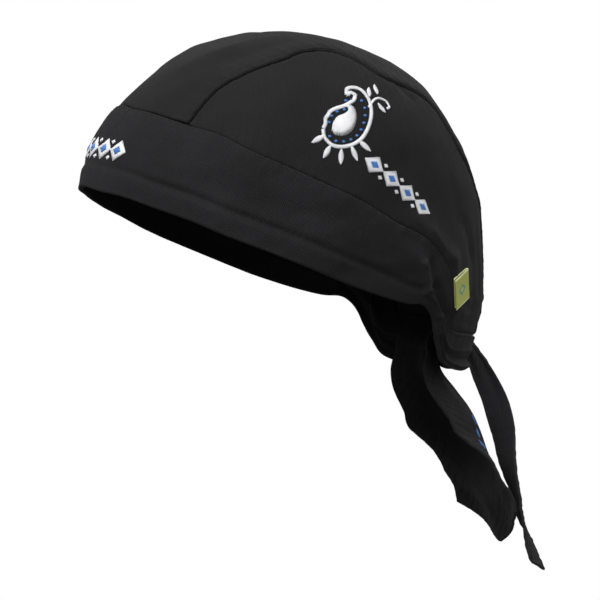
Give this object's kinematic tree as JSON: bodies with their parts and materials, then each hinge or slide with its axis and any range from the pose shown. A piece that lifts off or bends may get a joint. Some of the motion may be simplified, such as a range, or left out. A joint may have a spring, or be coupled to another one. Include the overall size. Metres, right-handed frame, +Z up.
{
  "type": "head bandana",
  "caption": "Fitted cloth skull cap with a centre and side panels, a folded brow band, a knot at the nape with hanging tie ends, and a tail that hangs over the neck.",
  "frame": {"origin": "inside of the crown's highest point, where the cap rests on the head", "axes": "+Z up, -Y towards the face, +X towards the wearer's left"},
  "size_m": [0.1598, 0.2415, 0.2728],
  "materials": {
    "crown_centre_panel": "matte black twill",
    "crown_side_left": "matte black twill",
    "crown_side_right": "matte black twill",
    "brow_band": "matte black twill, slightly blue",
    "knot": "matte black twill",
    "tie_left": "matte black twill",
    "tie_right": "matte black twill",
    "neck_flap": "matte black twill",
    "side_label": "woven yellow-green tape"
  },
  "bodies": {
    "root": {"crown_centre_panel": "crown_centre_panel", "crown_side_left": "crown_side_left", "crown_side_right": "crown_side_right", "brow_band": "brow_band", "knot": "knot", "tie_left": "tie_left", "tie_right": "tie_right", "neck_flap": "neck_flap", "side_label": "side_label"}
  },
  "joints": []
}
